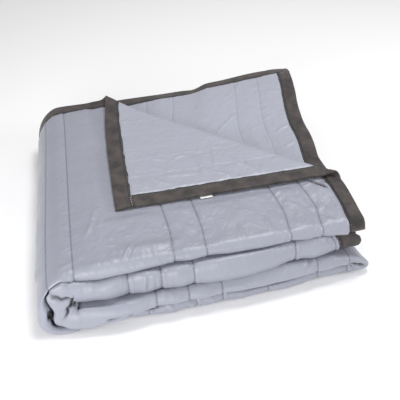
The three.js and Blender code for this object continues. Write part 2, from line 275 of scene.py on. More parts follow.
def folded(u, v, w):
    # Carries flat places of the cloth to their places in the stack, in metres
    u, v, w = [np.asarray(a, float) for a in np.broadcast_arrays(u, v, w)]
    u, v, w = turnCorner(u, v, w + ripple(u, v))
    lastLayer = np.maximum(0, (v - (cloth["width"] - layerDepth)) / layerDepth)
    drift = tableAt(underCorner["drift"], lastLayer) * eased((topRun, underCorner["driftFull"]), u)
    reach = underCorner["reach"] * eased((underCorner["reachWidth"], 0), u) * lastLayer ** 2
    lift = underCorner["rise"] * eased((underCorner["riseWidth"], 0), u) * lastLayer ** 4
    y, height = pathPoint(depthPath, v + reach, w)
    x, z = pathPoint(lengthPath, u - drift + tableAt(layerSlip, v), height)
    x, z = squeezed(x, z)
    z = z + meetingRise(x, z)
    side = np.clip(x / stack["width"] + 0.5, 0, 1)
    scale = stack["leftScale"] + (stack["rightScale"] - stack["leftScale"]) * side
    settled = z - stack["sag"] * np.sin(math.pi * np.clip(z / (4 * ply), 0, 1))
    place = np.stack([x - stack["middle"][0], y - stack["middle"][1],
                      settled * scale - stack["sunkIntoFloor"] + lift], -1)
    by = {"u": u, "v": v, "x": x, "y": y}
    for shift, *factors in shifts:
        share = math.prod(shareAt(by[name], *form) for name, *form in factors)
        place = place + share[..., None] * np.array(shift)
    place[..., 2] = np.maximum(0, place[..., 2])
    return place / 1000


def fromSeam(u):
    return np.min([np.abs(u - seam) for seam in cloth["seams"]], 0)


def fromEdge(u, v):
    return np.minimum(np.minimum(u, cloth["length"] - u), np.minimum(v, cloth["width"] - v))


# Where each face of the cloth shows: the outside of the stack, the flap and the corner under it
showing = {
    "pastFlap": (384, 376), "flapEnd": (4, 22), "topEnd": (640, 575), "topFront": (519, 505),
    "frontStart": (484, 490), "frontEnd": (522, 514), "flap": (0.985, 0.93), "under": (0.97, 0.90),
}


def shown(u, v, side):
    # From 0 where a face is hidden to 1 where it shows
    flapShare = u / corner["onBack"] + v / corner["onRight"]
    underShare = u / corner["onBack"] + (cloth["width"] - v) / corner["onRight"]
    if side < 0:
        return np.maximum(eased(showing["flap"], flapShare), eased(showing["under"], underShare))
    past = np.maximum(u - showing["pastFlap"][0], v - showing["pastFlap"][1])
    top = eased(showing["flapEnd"], past) * eased(showing["topEnd"], u) * eased(showing["topFront"], v)
    front = eased(showing["frontStart"], v) * eased(showing["frontEnd"], v)
    return np.maximum(top, front)


# Creases: height in mm, below 0 for a trough, half width in mm, and then the places
# in u and v that its line runs through
# Troughs in this list deeper than 3 mm are also darkened in the satin with painted shade
topCreases = [
    # the inner roll and the outer one lean together at the left end, with a crack between that is darkened
    # with painted shade
    (5, 9, 1490, 517, 1530, 518, 1575, 517), (4, 8, 470, 517, 520, 518, 580, 517),
    (-7, 2.6, 1549, 519, 1542, 520, 1536, 520),
    (-8, 4, 1536, 520, 1533, 519, 1529, 519, 1525, 518, 1521, 517),
    (-8, 3.6, 472, 508, 482, 511, 488, 512, 496, 517, 504, 519,
     512, 519, 524, 518, 535, 518, 546, 517, 556, 516, 568, 516), (-7, 4, 519, 512, 528, 511, 538, 513),
    # the inner roll's end: a wedge and a line over the tongue, both darkened with painted shade, and a ridge
    # down it
    (-3.6, 6, 1536, 492, 1522, 486, 1508, 479), (-4, 4, 1549, 499, 1542, 496, 1536, 497),
    (-5.5, 1.7, 1550, 505, 1544, 501.3, 1541, 500, 1538, 500, 1534, 502.5, 1529, 504.5, 1525, 507),
    (-3.8, 1.4, 1540, 518, 1540, 513, 1541, 511, 1541, 508, 1545, 505, 1549, 503),
    (2.2, 3.4, 1538, 509, 1533, 510, 1526, 512), (-2.5, 2, 1518, 515, 1523, 512, 1525, 510),
    (1.4, 5, 1543, 520, 1550, 509, 1566, 507),
    # the hollow in the end of the lowest fold, darkened with painted shade
    (-7, 2.6, 1078, 505, 1067, 503, 1056, 499),
    # a fan of ridges where the front edge is pinched
    (2.6, 3, 364, 458, 372, 476, 380, 492), (-1.6, 2.6, 360, 462, 370, 482, 376, 492),
    (1, 2.6, 382, 450, 382, 472, 384, 490), (1.7, 3, 400, 464, 396, 486, 390, 498),
    (1.5, 3, 394, 462, 390, 484, 386, 494), (0.8, 3.5, 398, 444, 392, 432, 386, 420),
    (0.7, 3, 386, 420, 384, 436, 384, 450), (0.7, 3, 380, 422, 374, 434, 368, 446),
    (1.3, 3.2, 334, 468, 332, 490, 328, 504), (0.6, 3, 352, 474, 352, 500),
    (0.8, 2.6, 434, 496, 428, 504), (0.6, 2.6, 426, 494, 420, 502), (0.6, 2.6, 408, 496, 404, 504),
    (-0.9, 2.6, 388, 472, 386, 490),
    # long soft ones at the left
    (2.4, 4.2, 440, 468, 454, 472, 468, 480, 556, 370),
    (2.1, 4, 410, 338, 410, 364, 418, 388, 424, 410, 434, 426), (1.4, 7, 408, 386, 408, 412, 410, 436),
    (0.9, 3.6, 558, 234, 468, 364, 456, 364), (0.9, 3.6, 560, 252, 466, 382, 454, 378),
    (0.8, 3.6, 476, 396, 574, 260, 452, 394), (0.8, 3.2, 482, 334, 472, 338),
    (3, 12, 380, 470, 338, 472, 300, 472), (0.8, 5, 404, 450, 386, 456),
    # short ones towards the right
    (2, 3.2, 200, 456, 198, 476, 196, 492), (0.9, 3, 206, 468, 204, 490),
    (2, 3.4, 160, 450, 156, 468, 154, 486), (0.9, 5, 4, 194, 166, 388, 148, 404),
    (1, 3, 112, 386, 126, 400), (1, 3.4, 118, 416, 110, 424, 102, 436),
    (1.2, 4, 82, 376, 86, 400, 92, 434), (1, 4, 72, 386, 52, 380),
    (2, 8, 44, 388, 36, 418, 34, 452, 38, 488), (1.2, 5, 130, 466, 134, 454), (1, 3.5, 64, 444, 50, 470),
    (0.9, 3.5, 66, 476, 48, 492), (-1, 3.5, 70, 460, 56, 482),
    # the pleat where the turned corner ends at the right, darkened with painted shade
    (-5, 4, 56, 371, 46, 383, 39, 397, 34, 408),
    # front of the second ply
    (2.7, 3.2, 1659, 513, 1655, 507, 1651, 499), (-2, 2.8, 1661, 510, 1657, 500),
    (1.7, 2.8, 1667, 511, 1667, 499), (1.7, 2.8, 1673, 510, 1675, 499), (-1.4, 2.6, 1671, 509, 1671, 498),
    (2.4, 5, 1635, 512, 1663, 511, 1693, 510, 1729, 508), (1.5, 3, 1853, 516, 1855, 508),
    (1.5, 3, 1861, 516, 1865, 506), (1.7, 3, 1871, 516, 1873, 506), (1.4, 3, 1879, 516, 1883, 506),
    (1.5, 3, 1955, 509, 1955, 499), (1.5, 3, 1963, 506, 1965, 496), (0.8, 2.6, 1745, 513, 1745, 498),
    (0.8, 2.6, 1751, 514, 1751, 498), (0.8, 2.6, 1759, 514, 1757, 498), (0.8, 2.6, 1765, 514, 1763, 498),
    (0.8, 2.6, 1771, 513, 1771, 497), (0.8, 2.6, 1779, 513, 1777, 498),
    (2.7, 8, 1559, 508, 1591, 505, 1621, 505), (1.2, 3, 1691, 508, 1693, 498),
    (1, 3, 1809, 514, 1813, 502),
    # front of the third ply, full along its upper edge
    (5, 9, 1110, 484, 1240, 484, 1380, 484, 1500, 484),
    (2.2, 8, 1410, 491, 1394, 492, 1372, 495, 1348, 495), (2, 3.6, 1134, 484, 1144, 494, 1150, 502),
    (-2.7, 3, 1146, 483, 1156, 499), (1.4, 3, 1142, 484, 1138, 498), (1.2, 3, 1384, 482, 1384, 499),
    (1.2, 3, 1360, 484, 1362, 502), (1, 4, 1290, 497, 1266, 496, 1230, 496), (1, 3, 1236, 479, 1236, 498),
    (1, 3, 1188, 478, 1190, 501), (1, 3, 1440, 483, 1438, 498), (1.2, 4, 1468, 480, 1440, 483),
    # front of the lowest ply, and the line over it, darkened with painted shade
    (-6, 3.2, 826, 511, 850, 511, 888, 512, 950, 513), (-6, 3, 640, 512, 699, 511, 722, 511),
    (-3.2, 1.8, 1420, 513, 1439, 504, 1464, 503, 1486, 500), (2.2, 3, 728, 509, 732, 504, 740, 494),
    (2, 3, 758, 506, 766, 502, 774, 495), (1.7, 3, 698, 508, 704, 502), (1.5, 3, 612, 516, 612, 500),
    (1.2, 3, 618, 490, 624, 499), (1.2, 3, 798, 507, 804, 494), (1.4, 3, 842, 506, 850, 495),
]
turnedCreases = [
    # the turned corner
    (1.2, 2.8, 246, 32, 262, 40, 252, 46, 238, 52, 250, 60, 260, 68),
    (1.4, 3.6, 156, 58, 138, 68, 122, 80, 114, 98), (1.2, 3, 110, 110, 120, 122, 122, 132),
    (2, 4, 120, 130, 112, 142, 100, 150, 76, 156, 54, 160), (1.5, 3.2, 130, 184, 94, 182, 66, 180),
    (2.2, 4, 88, 212, 72, 220, 52, 236, 32, 244), (1.8, 3.5, 56, 258, 30, 252),
    (1.7, 2.6, 58, 172, 44, 192, 30, 196), (1.2, 2.6, 36, 182, 42, 200),
    (0.9, 4, 66, 92, 62, 124, 60, 158), (1.4, 3.4, 66, 66, 50, 82, 38, 98), (1.4, 5, 66, 50, 38, 54),
    (1.4, 2.8, 82, 236, 58, 234), (-1.5, 2.4, 54, 214, 30, 212), (-1.2, 3, 76, 146, 58, 148),
    (0.9, 3, 102, 68, 92, 82), (0.9, 3, 148, 112, 126, 112), (0.9, 3, 140, 160, 120, 160),
    (1, 3, 112, 202, 88, 202), (0.9, 2.6, 156, 34, 132, 38), (0.9, 2.6, 96, 38, 74, 42),
]
underCreases = [
    # the face under it
    (2.4, 2.6, 168, 1820, 146, 1846, 124, 1872), (1.5, 2.6, 150, 1920, 132, 1940),
    (1.5, 2.6, 122, 1940, 110, 1984), (2, 4, 62, 1784, 44, 1796, 22, 1800),
    (2, 4, 58, 1736, 40, 1744, 22, 1752), (1.2, 5, 64, 1918, 40, 1908, 16, 1890),
    (1, 4, 54, 1940, 26, 1922), (1, 3.5, 110, 1802, 96, 1812, 82, 1818), (1, 3.5, 80, 1786, 78, 1756),
    (-1, 4, 46, 1774, 26, 1774), (0.8, 3, 206, 1970, 190, 1978), (0.9, 4, 80, 1864, 58, 1864),
    (0.9, 4, 74, 1836, 52, 1838),
]


creaseForm = {"reach": 3.0, "tail": 0.3, "tailShare": 0.3, "shoulder": 0.45}


def creaseHeight(u, v, creases, below=math.inf):
    # The height of some creases, or of those among them that are lower than a height
    height = np.zeros(len(u))
    for rise, width, *line in creases:
        if rise >= below:
            continue
        spots = np.reshape(line, (-1, 2)).astype(float)
        reach = creaseForm["reach"] * width
        near = np.flatnonzero((u > spots[:, 0].min() - reach) & (u < spots[:, 0].max() + reach)
                              & (v > spots[:, 1].min() - reach) & (v < spots[:, 1].max() + reach))
        if not len(near):
            continue
        lengths = np.hypot(*np.diff(spots, axis=0).T)
        best, share, passed = np.full(len(near), math.inf), np.zeros(len(near)), 0.0
        for a, b, length in zip(spots, spots[1:], lengths):
            fromU, fromV = u[near] - a[0], v[near] - a[1]
            overU, overV = b - a
            t = np.clip((fromU * overU + fromV * overV) / length ** 2, 0, 1)
            away = np.hypot(fromU - t * overU, fromV - t * overV)
            share = np.where(away < best, (passed + t * length) / lengths.sum(), share)
            best, passed = np.minimum(best, away), passed + length
        fromTail = eased((0, creaseForm["tailShare"]), np.minimum(share, 1 - share))
        tail = creaseForm["tail"] + (1 - creaseForm["tail"]) * fromTail
        across = (best / width) ** 2
        height[near] += rise * tail * (1 - creaseForm["shoulder"] * across) * np.exp(-across)
    return height


# The relief of each face, in mm: full channels that roll and crumple, a ridge along one side of
# each seam, puckers that the thread gathers and a lip along the binding. The turned corner has less
# of each and lies smoother. The first number of a row is a height, and faceHeight names the rest
relief = {
    "seamSpread": 4.5, "crown": (2.7, 25.0, 0.75), "rolling": (1.1, 64, 12, 11),
    "crumple": (0.5, 17, 6, 21), "ridge": (0.8, 4.6, 2.2, 0.5, 0.6, 9.0, 35),
    "pucker": (1.0, 25.0, 37.7, 10.0, 2.0, 7.5, 31), "lip": (1.4, 2.0, 3.5, 0.6, 0.7, 6.5, 33),
    "lipStart": (-1, 1.5), "hemRise": (-1, 8), "hemOpen": (-1, 3), "flapReach": 400, "flapFull": 0.7,
}


def onFlap(u, v, side):
    return (side < 0) * (v < relief["flapReach"]) * (u < relief["flapReach"])


def fromSeamOut(gap, reach):
    return 1 - np.exp(-gap / reach)


def faceHeight(u, v, side):
    # How far a face of the quilt stands from the middle of the cloth
    gap = fromSeam(u)
    hem = fromEdge(u, v) - cloth["bindingWidth"]
    flap, opened = onFlap(u, v, side), eased(relief["hemOpen"], hem)
    inside = eased(relief["hemRise"], hem)
    puff = cloth["crownHalf"] - cloth["seamHalf"]
    puff = cloth["seamHalf"] + puff * fromSeamOut(gap, relief["seamSpread"])
    half = cloth["hemHalf"] + (puff - cloth["hemHalf"]) * inside
    half = half + relief["flapFull"] * (cloth["crownHalf"] - half) * flap * opened
    crown, spread, less = relief["crown"]
    extra = crown * (1 - less * flap) * (1 - np.exp(-(gap / spread) ** 2))
    for height, cell, start, seed in (relief["rolling"], relief["crumple"]):
        extra = extra + height * softNoise(u, v, cell, seed + side) * fromSeamOut(gap, start)
    ridge, away, width, less, waver, cell, seed = relief["ridge"]
    beside = np.min([np.where(u > seam, np.abs(u - seam - away), math.inf) for seam in cloth["seams"]], 0)
    ridge = ridge * np.exp(-(beside / width) ** 2) * (1 - less * flap)
    extra = extra + ridge * (1 + waver * softNoise(v, u * 0, cell, seed))
    pucker, band, jump, reach, start, cell, seed = relief["pucker"]
    pucker = pucker * softNoise(np.round(u / band) * jump, v, cell, seed)
    extra = extra + pucker * np.exp(-gap / reach) * fromSeamOut(gap, start)
    lip, away, width, less, share, cell, seed = relief["lip"]
    lip = lip * (1 - less * flap) * eased(relief["lipStart"], hem)
    lip = lip * np.exp(-(np.maximum(hem - away, 0) / width) ** 2)
    extra = extra + lip * share * (1 + softNoise(u + v, u * 0, cell, seed))
    hand = creaseHeight(u, v, topCreases if side > 0 else turnedCreases + underCreases)
    return half + extra * shown(u, v, side) * opened + hand * inside


# The quilted cloth, as a grid that is fine where it shows or turns. Each zone has its ends in u,
# its ends in v and its steps in u and v. One of the flap also has two limits, of how far past the
# crease it lies, and the corner under it has one, of how far out it lies
panel = {
    "cell": 20.0, "perMillimetre": 16, "seamHalf": 2,
    "turns": [
        (0, 2000, 484, 522, 20, 5), (0, 2000, 1003, 1019, 20, 1.25), (0, 2000, 1500, 1516, 20, 2.5),
        (455, 595, 0, 2000, 10, 20), (1025, 1080, 0, 2000, 5, 20), (1505, 1560, 0, 2000, 5, 20),
        (0, 2000, 0, 5, 5, 5), (0, 2000, 1995, 2000, 5, 5), (0, 5, 0, 2000, 5, 5),
        (1995, 2000, 0, 2000, 5, 5), (0, 45, 330, 405, 2.5, 2.5),
    ],
    "upper": [
        (380, 470, 230, 490, 2.5, 2.5), (380, 470, 25, 230, 5, 5), (25, 470, 372, 490, 2.5, 2.5),
        (470, 600, 25, 490, 5, 10), (25, 1975, 485.1, 519.9, 2.5, 2.5), (26, 40, 25, 522, 2.5, 2.5),
        (25, 375, 25, 383, 2.5, 2.5, -4, 16), (466, 572, 503, 522, 1.25, 1.25),
        (1486, 1572, 484, 525, 1.25, 1.25), (1524, 1551, 497, 516, 0.625, 0.625),
    ],
    "lower": [
        (25, 375, 25, 383, 2.5, 2.5, -4, 400), (25, 375, 1617, 1975, 2.5, 2.5, 1.01),
    ],
}
# Narrow columns along each seam, so that its valley is sharp where it shows
for seam in cloth["seams"]:
    columns = (seam - panel["seamHalf"], seam + panel["seamHalf"])
    panel["turns"].append((*columns, 985, 1040, 5, 20))
    panel["upper"].append((*columns, 25, 522, 2.5, 20))


def clothCells(zones, cell):
    # Splits square cells in half until each is as fine as the zones that it touches ask
    starts = np.arange(0, cloth["length"], cell)
    low = np.array([a.ravel() for a in np.meshgrid(starts, starts)])
    high = low + cell
    while True:
        steps = np.full(low.shape, cell)
        for startU, endU, startV, endV, stepU, stepV, *limits in zones:
            hit = (high[0] > startU) & (low[0] < endU) & (high[1] > startV) & (low[1] < endV)
            if len(limits) == 2:
                hit &= (pastCrease(*low) > limits[0]) & (pastCrease(*high) < limits[1])
            elif limits:
                out = low[0] / corner["onBack"] + (cloth["width"] - high[1]) / corner["onRight"]
                hit &= out < limits[0]
            steps = np.where(hit, np.minimum(steps, [[stepU], [stepV]]), steps)
        coarse = high - low > steps + 0.01
        if not coarse.any():
            return low[0], high[0], low[1], high[1]
        way = 0 if coarse[0].any() else 1
        cut = coarse[way]
        middle = (low[way] + high[way]) / 2
        firstHigh, secondLow = high.copy(), low[:, cut]
        firstHigh[way] = np.where(cut, middle, high[way])
        secondLow[way] = middle[cut]
        low, high = np.hstack([low, secondLow]), np.hstack([firstHigh, high[:, cut]])


def clothFace(side):
    # One face of the cloth: places in u and v, and polygons that share every place on their edges
    fine = panel["perMillimetre"]
    ends = clothCells(panel["turns"] + panel[side], panel["cell"])
    cells = np.stack([np.round(a * fine).astype(int) for a in ends], 1).tolist()
    owner, columns, rows = {}, {}, {}
    for u0, u1, v0, v1 in cells:
        for place in ((u0, v0), (u1, v0), (u1, v1), (u0, v1)):
            if place not in owner:
                owner[place] = len(owner)
                columns.setdefault(place[0], []).append(place[1])
                rows.setdefault(place[1], []).append(place[0])
    for line in (*columns.values(), *rows.values()):
        line.sort()
    faces = []
    for u0, u1, v0, v1 in cells:
        low, high, left, right = rows[v0], rows[v1], columns[u0], columns[u1]
        ring = [owner[(u, v0)] for u in low[bisect_left(low, u0):bisect_left(low, u1)]]
        ring += [owner[(u1, v)] for v in right[bisect_left(right, v0):bisect_left(right, v1)]]
        ring += [owner[(u, v1)] for u in reversed(high[bisect_right(high, u0):bisect_right(high, u1)])]
        ring += [owner[(u0, v)] for v in reversed(left[bisect_right(left, v0):bisect_right(left, v1)])]
        faces.append(ring)
    return np.array(list(owner), float) / fine, faces, owner


def addMesh(name, places, faces, flat):
    # A mesh object at the origin, with the flat cloth in metres as its UV map
    mesh = bpy.data.meshes.new(name)
    mesh.from_pydata([tuple(p) for p in places], [], faces)
    layer = mesh.uv_layers.new(name="flatCloth")
    corners = np.empty(len(mesh.loops), int)
    mesh.loops.foreach_get("vertex_index", corners)
    layer.data.foreach_set("uv", (np.asarray(flat, float)[corners] / 1000).ravel())
    mesh.polygons.foreach_set("use_smooth", np.ones(len(mesh.polygons), bool))
    mesh.validate()
    mesh.update()
    piece = bpy.data.objects.new(name, mesh)
    scene.collection.objects.link(piece)
    return piece


upperFlat, upperFaces, upperOwner = clothFace("upper")
lowerFlat, lowerFaces, lowerOwner = clothFace("lower")
upperPlaces = folded(*upperFlat.T, faceHeight(*upperFlat.T, 1))
lowerPlaces = folded(*lowerFlat.T, -faceHeight(*lowerFlat.T, -1))
end = int(cloth["length"] * panel["perMillimetre"])
rim = sorted([p for p in upperOwner if 0 in p or end in p],
             key=lambda p: math.atan2(p[1] - end / 2, p[0] - end / 2))
under = len(upperFlat)
clothFaces = upperFaces + [[under + i for i in reversed(ring)] for ring in lowerFaces]
for here, after in zip(rim, rim[1:] + rim[:1]):
    clothFaces.append([upperOwner[after], upperOwner[here],
                       under + lowerOwner[here], under + lowerOwner[after]])
clothFlat = np.concatenate([upperFlat, lowerFlat])
quiltedCloth = addMesh("quilted_cloth", np.concatenate([upperPlaces, lowerPlaces]), clothFaces, clothFlat)

# What the satin reads: which face it is, how near the thread, and how much painted shade darkens the deepest
# folds
shading = {"threadHalf": 2.8, "underLess": 0.4, "flapLess": 0.35, "sewnIn": (24, 30),
           "trough": -3, "paintedShade": (1.3, 4.2)}
flatU, flatV = clothFlat.T
onUnder = np.concatenate([np.zeros(under), np.ones(len(lowerFlat))])
onTurned = onUnder * onFlap(flatU, flatV, -1)
nearThread = np.clip(1 - fromSeam(flatU) / shading["threadHalf"], 0, 1)
nearThread = nearThread * (1 - shading["underLess"] * onUnder - shading["flapLess"] * onTurned)
shadedTroughDepth = np.concatenate([creaseHeight(*upperFlat.T, topCreases, shading["trough"]), np.zeros(len(lowerFlat))])
for name, values in (("underFace", onUnder),
                     ("threadShade", nearThread * eased(shading["sewnIn"], fromEdge(flatU, flatV))),
                     ("paintedFoldShade", eased(shading["paintedShade"], -shadedTroughDepth))):
    stored = quiltedCloth.data.attributes.new(name, "FLOAT", "POINT")
    stored.data.foreach_set("value", values.astype(np.float32))
print("quilted cloth made,", len(quiltedCloth.data.polygons), "faces")

# The binding tapes, each folded round one edge. A section runs from the inner edge to the fold
tape = {
    "across": [28.0, 27.2, 26.3, 25.5, 24.7, 22.0, 17.0, 12.0, 7.0, 3.5],
    "inner": 1.5, "outer": 2.4, "foldCentre": 1.1, "foldSteps": 8, "sewnGap": 0.4, "endPast": 0.9,
    "crown": 0.5, "crownStart": 1.0, "crownWidth": 26.0, "fullness": 0.7, "lowest": -0.25,
    "groove": 0.9, "grooveAt": 25.8, "grooveHalf": 1.1, "step": 4.0, "closest": 1.2,
    "waver": 1.2, "waverCell": 20.0, "waverStretch": 0.7, "edgeWaver": 1.3, "edgeCell": 11.0,
    "edgeStart": (14, 28), "gather": 0.6, "gatherCell": 7.5, "gatherStretch": 0.2, "gatherStart": (14, 24),
}


def tapeSection():
    # The outer side and the inner one, both from the upper edge to the lower
    bend = [math.pi * step / tape["foldSteps"] for step in range(tape["foldSteps"] + 1)]
    sides = []
    for radius in (tape["outer"], tape["inner"]):
        upper = [(a, radius) for a in tape["across"]]
        fold = [(tape["foldCentre"] - radius * math.sin(b), radius * math.cos(b)) for b in bend]
        sides.append(upper + fold + [(a, -h) for a, h in reversed(upper)])
    return np.array(sides)


def tapeSwell(s, across, seed):
    # How far the tape's outer side stands off its plain section
    share = np.clip((across - tape["crownStart"]) / tape["crownWidth"], 0, 1)
    body = np.clip(np.sin(math.pi * share), 0, 1)
    waver = softNoise(s, across * tape["waverStretch"], tape["waverCell"], seed)
    gather = softNoise(s, across * tape["gatherStretch"], tape["gatherCell"], seed + 1)
    swell = (tape["crown"] * body ** tape["fullness"] + tape["waver"] * body * waver
             + tape["gather"] * eased(tape["gatherStart"], across) * gather)
    groove = tape["groove"] * np.exp(-((across - tape["grooveAt"]) / tape["grooveHalf"]) ** 2)
    return np.maximum(swell, tape["lowest"]) - groove


def tapeEdge(s, across, seed):
    waver = softNoise(s, s * 0, tape["edgeCell"], seed + 2)
    return across + tape["edgeWaver"] * eased(tape["edgeStart"], across) * waver


def stations(low, high, turns):
    # Places along a tape, closer together where it turns. A turn has its start, length and steps
    places = list(np.linspace(low, high, int((high - low) / tape["step"]) + 1))
    for start, length, steps in turns:
        places += [start + length * i / steps for i in range(steps + 1)]
    places = sorted(p for p in places if low <= p <= high)
    kept = [places[0]]
    for place in places[1:-1]:
        if min(place - kept[-1], places[-1] - place) >= tape["closest"]:
            kept.append(place)
    return np.array(kept + [places[-1]])


def bindingTape(name, along, closedEnds, toFlat, seed):
    section = tapeSection()
    count = section.shape[1]
    size = 2 * count
    if closedEnds:
        along = np.concatenate([[along[0] - tape["endPast"]], along, [along[-1] + tape["endPast"]]])
    s = np.repeat(along[:, None], size, 1)
    across, up = [np.repeat(row[None, :], len(along), 0) for row in section.reshape(size, 2).T]
    swell = np.sign(up) * tapeSwell(s, across, seed) * np.clip(np.abs(up) / tape["inner"], 0, 1)
    up = up + np.where(np.arange(size) < count, swell, 0)
    across = tapeEdge(s, across, seed)
    points = folded(*toFlat(s, across), up).reshape(-1, 3)
    flat = np.stack([s, np.where(up >= 0, across, -across)], -1).reshape(-1, 2)
    first, last = (1, len(along) - 2) if closedEnds else (0, len(along) - 1)
    faces = []
    for here in range(first * size, last * size, size):
        after = here + size
        for i in range(count - 1):
            faces.append([here + i, here + i + 1, after + i + 1, after + i])
            faces.append([p + count for p in (here + i + 1, here + i, after + i, after + i + 1)])
        faces.append([here + count, here, after, after + count])
        faces.append([here + count - 1, here + size - 1, after + size - 1, after + count - 1])
    for ring, wall, flip in ((first * size, 0, False), (last * size, (len(along) - 1) * size, True)):
        if closedEnds:
            caps = [[wall + i, wall + i + 1, ring + i + 1, ring + i] for i in range(count - 1)]
            caps.append([wall + i for i in reversed(range(count))])
            caps.append([ring + count + i for i in range(count)])
            caps.append([ring + count, ring + size - 1, ring + count - 1, wall + count - 1, wall, ring])
        else:
            caps = [[ring + i + 1, ring + i, ring + count + i, ring + count + i + 1]
                    for i in range(count - 1)]
        faces += [face[::-1] if flip else face for face in caps]
    used = sorted({i for face in faces for i in face})
    new = {old: i for i, old in enumerate(used)}
    return addMesh(name, points[used], [[new[i] for i in face] for face in faces], flat[used])


outerArc, innerArc, wideArc, tightArc = [math.pi * a for a in (outerRoll, innerRoll, wideTurn, tightTurn)]
cornerTurn = (338, 64, 52)
secondRoll = topRun + outerArc + bottomRun
lengthTurns = [cornerTurn, (topRun, outerArc, 40), (secondRoll, innerArc, 18),
               (secondRoll + innerArc + thirdRun, innerArc, 18)]
widthTurns = [cornerTurn, (layerDepth, wideArc, 14), (2 * layerDepth + wideArc, tightArc, 9),
              (3 * layerDepth + wideArc + tightArc, tightArc, 9)]
fromCorner = cloth["bindingWidth"] + tape["sewnGap"]
longPlaces = stations(-tape["sewnGap"], cloth["length"] + tape["sewnGap"], lengthTurns)
shortPlaces = stations(fromCorner, cloth["width"] - fromCorner, widthTurns)
# By CAD node: the tape's name, whether it covers the corners, how it lies on the cloth and a seed
tapeSides = {
    "top_edge_binding": ("top_edge_tape", True, lambda s, a: (s, a), 41),
    "under_edge_binding": ("under_edge_tape", True, lambda s, a: (s, cloth["width"] - a), 51),
    "top_end_binding": ("top_end_tape", False, lambda s, a: (a, s), 61),
    "inner_end_binding": ("inner_end_tape", False, lambda s, a: (cloth["length"] - a, s), 71),
}
tapes = {}
for node, (name, closed, toFlat, seed) in tapeSides.items():
    tapes[node] = bindingTape(name, longPlaces if closed else shortPlaces, closed, toFlat, seed)

# Lockstitches along the inner edge of each tape, on both faces, and a white row at each corner
stitch = {
    "pitch": 4.6, "length": 3.3, "half": 0.42, "rise": 0.34, "stand": 0.12, "shoulders": (0.25, 0.75),
    "across": 25.8, "row": (30, 1968), "cornerAcross": 26.6, "cornerStarts": (2, 1974), "cornerRow": 23,
}


def stitchRow(starts, across, toFlat, seed, side):
    # Each stitch is a small lozenge: a tip, two rings of four and a tip
    around = [(stitch["half"], 0), (0, stitch["rise"]), (-stitch["half"], 0), (0, -stitch["rise"])]
    shape = [(0, 0, 0), *[(share, a, h) for share in stitch["shoulders"] for a, h in around], (1, 0, 0)]
    forward, sideways, up = np.array(shape).T
    s = starts[:, None] + stitch["length"] * forward
    middle = across + s * 0
    flatAcross = tapeEdge(s, middle, seed) + sideways
    level = tape["outer"] + tapeSwell(s, middle, seed) + stitch["stand"]
    points = folded(*toFlat(s, flatAcross), side * (level + up)).reshape(-1, 3)
    turns = [(k, (k + 1) % 4) for k in range(4)]
    rings = [[0, 1 + k, 1 + n] for k, n in turns] + [[1 + k, 5 + k, 5 + n, 1 + n] for k, n in turns]
    rings += [[9, 5 + n, 5 + k] for k, n in turns]
    faces = [[i + len(shape) * n for i in ring] for n in range(len(s)) for ring in rings]
    return points, faces, np.stack([s, flatAcross], -1).reshape(-1, 2)


def stitching(name, rows):
    faces, count = [], 0
    for points, rings, flat in rows:
        faces += [[i + count for i in ring] for ring in rings]
        count += len(points)
    points, flat = [np.concatenate([row[part] for row in rows]) for part in (0, 2)]
    return addMesh(name, points, faces, flat)


tapeRows, cornerRows = [], []
for name, closed, toFlat, seed in tapeSides.values():
    for side in (1, -1):
        starts = np.arange(*stitch["row"], stitch["pitch"])
        tapeRows.append(stitchRow(starts, stitch["across"], toFlat, seed, side))
        for start in stitch["cornerStarts"] if closed else ():
            starts = start + np.arange(0, stitch["cornerRow"], stitch["pitch"])
            cornerRows.append(stitchRow(starts, stitch["cornerAcross"], toFlat, seed, side))
tapeStitches = stitching("tape_stitches", tapeRows)
cornerStitches = stitching("corner_stitches", cornerRows)

# Faces that look inwards are turned round, judged by the volume they close
for piece in (quiltedCloth, *tapes.values(), tapeStitches, cornerStitches):
    shell = bmesh.new()
    shell.from_mesh(piece.data)
    if piece is not quiltedCloth:
        bmesh.ops.recalc_face_normals(shell, faces=shell.faces)
    volume = shell.calc_volume(signed=True)
    openEdges = sum(1 for edge in shell.edges if len(edge.link_faces) != 2)
    if volume < 0:
        bmesh.ops.reverse_faces(shell, faces=shell.faces)
    shell.to_mesh(piece.data)
    shell.free()
    print(piece.name, "volume in litres", round(volume * 1000, 3), "open edges", openEdges)

# The white label, a soft tab under the flap's front binding, curled where it shows
tab = {
    "length": 21.0, "width": 20.0, "shows": 4.5, "along": 147.0, "levels": (3.3, 2.8),
    "places": (13, 9), "curl": 0.25, "curlCell": 3.2, "curlStart": (0, 7),
}
long, wide = tab["places"]
lengthways = np.linspace(-tab["shows"], tab["length"] - tab["shows"], long)
sideways = np.linspace(-tab["width"] / 2, tab["width"] / 2, wide)
a, b = np.meshgrid(lengthways, sideways, indexing="ij")
curl = tab["curl"] * np.sin(b / tab["curlCell"]) * eased(tab["curlStart"], -a)
points = [folded(a, tab["along"] + b, level + curl).reshape(-1, 3) for level in tab["levels"]]
flat = np.tile(np.stack([a, b], -1).reshape(-1, 2), (2, 1))
below = long * wide
faces = []
for i in range(long - 1):
    for j in range(wide - 1):
        quad = [i * wide + j, (i + 1) * wide + j, (i + 1) * wide + j + 1, i * wide + j + 1]
        faces += [quad, [k + below for k in reversed(quad)]]
border = ([i * wide for i in range(long)] + [(long - 1) * wide + j for j in range(1, wide)]
          + [i * wide + wide - 1 for i in range(long - 2, -1, -1)] + list(range(wide - 2, 0, -1)))
for here, after in zip(border, border[1:] + border[:1]):
    faces.append([after, here, here + below, after + below])
label = addMesh("ribbon_label", np.concatenate(points), faces, flat)
print("tapes and label made")


def hexColour(code):
    channels = [int(code[i:i + 2], 16) / 255 for i in (1, 3, 5)]
    return tuple(c / 12.92 if c <= 0.04045 else ((c + 0.055) / 1.055) ** 2.4 for c in channels) + (1.0,)


